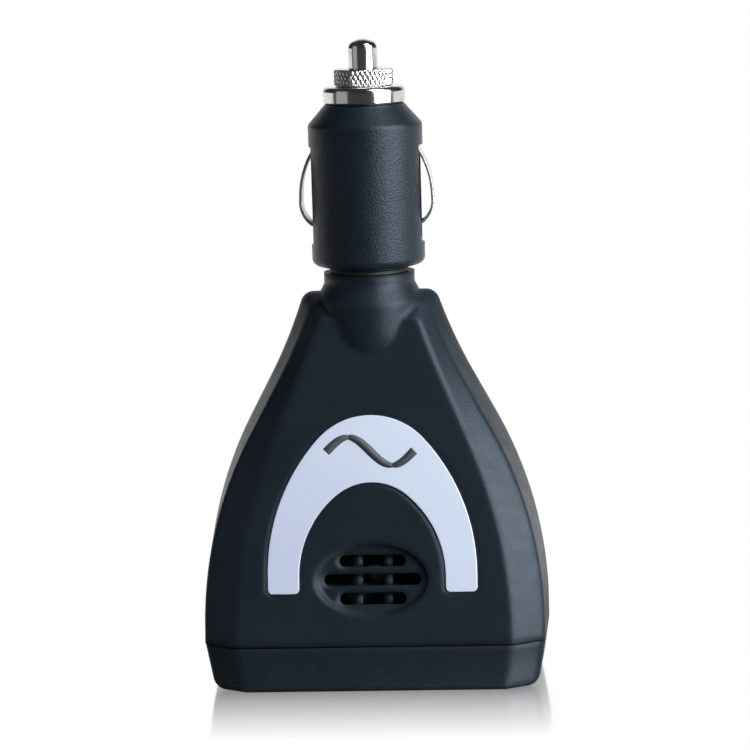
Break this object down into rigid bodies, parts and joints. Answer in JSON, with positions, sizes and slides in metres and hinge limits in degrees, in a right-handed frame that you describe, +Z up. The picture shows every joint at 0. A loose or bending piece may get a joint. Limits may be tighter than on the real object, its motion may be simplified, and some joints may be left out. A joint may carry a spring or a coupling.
{
  "type": "plug-in power inverter",
  "caption": "Car socket power inverter: a nickel-tipped plug on a swivel neck over a flared two-shell housing with an arch label, an oval vent and an outlet in its base.",
  "frame": {"origin": "centre of the flat base the inverter stands on, on the plug's axis", "axes": "+Z up the plug's axis towards the contact pin, -Y out of the vented front face, +X to the right seen from the front"},
  "size_m": [0.0638, 0.041, 0.1176],
  "materials": {
    "black_plastic": "finely textured, satin black moulding",
    "plug_plastic": "finely textured black moulding",
    "label_silver": "pearl silver print on a thin plate",
    "nickel": "bright nickel plate",
    "contact_spring": "bright plated spring strip",
    "screw_steel": "zinc plated, dull",
    "brass": "bare pressed brass",
    "outlet_plastic": "smooth black moulding",
    "led_lens": "clear green lens",
    "board_laminate": "green solder mask",
    "ferrite": "dark sintered ferrite",
    "copper_wire": "enamelled copper wire",
    "bobbin_nylon": "natural nylon",
    "sink_aluminium": "extruded aluminium",
    "package_black": "moulded epoxy",
    "capacitor_sleeve": "shrunk vinyl sleeve",
    "lead_red": "red vinyl insulation",
    "lead_black": "black vinyl insulation",
    "fuse_glass": "clear tube",
    "fuse_wire": "fine tinned wire",
    "spring_steel": "music wire",
    "washer_nylon": "black nylon"
  },
  "bodies": {
    "housing": {"front_shell": "black_plastic", "back_shell": "black_plastic", "end_cap": "black_plastic", "label_plate": "label_silver", "housing_screws": "screw_steel", "outlet_insert": "outlet_plastic", "live_contact": "brass", "neutral_contact": "brass", "earth_contact": "brass", "status_led": "led_lens", "circuit_board": "board_laminate", "transformer_core": "ferrite", "transformer_bobbin": "bobbin_nylon", "transformer_winding": "copper_wire", "heat_sink": "sink_aluminium", "power_transistors": "package_black", "input_capacitors": "capacitor_sleeve", "output_capacitor": "capacitor_sleeve", "control_chip": "package_black", "positive_lead": "lead_red", "negative_lead": "lead_black", "outlet_leads": "lead_black"},
    "plug": {"plug_front_half": "plug_plastic", "plug_back_half": "plug_plastic", "plug_screws": "screw_steel", "swivel_washer": "washer_nylon", "nose_bushing": "nickel", "rear_contact": "brass", "fuse_spring": "spring_steel"},
    "pin": {"contact_pin": "nickel", "fuse_end_caps": "nickel", "fuse_tube": "fuse_glass", "fuse_wire": "fuse_wire"},
    "cap": {"knurled_cap": "nickel"},
    "left_contact": {"side_contact_left": "contact_spring"},
    "right_contact": {"side_contact_right": "contact_spring"}
  },
  "joints": [
    {"name": "plug_swivel", "type": "hinge", "parent": "housing", "child": "plug", "pos_m": [0, 0, 0.0751], "axis": [0, 0, 1], "range_deg": [-90, 90]},
    {"name": "pin_press", "type": "slide", "parent": "plug", "child": "pin", "axis": [0, 0, -1], "range_m": [0, 0.003], "stiffness_N_per_m": 1200, "springref_m": -0.002, "deforming": ["fuse_spring"]},
    {"name": "cap_unscrew", "type": "hinge", "parent": "plug", "child": "cap", "pos_m": [0, 0, 0.1122], "axis": [0, 0, 1], "range_deg": [0, 720]},
    {"name": "left_contact_flex", "type": "hinge", "parent": "plug", "child": "left_contact", "pos_m": [-0.009, 0, 0.0979], "axis": [0, -1, 0], "range_deg": [0, 11], "stiffness_Nm_per_rad": 0.3, "springref_deg": -1.72},
    {"name": "right_contact_flex", "type": "hinge", "parent": "plug", "child": "right_contact", "pos_m": [0.009, 0, 0.0979], "axis": [0, 1, 0], "range_deg": [0, 11], "stiffness_Nm_per_rad": 0.3, "springref_deg": -1.72}
  ]
}
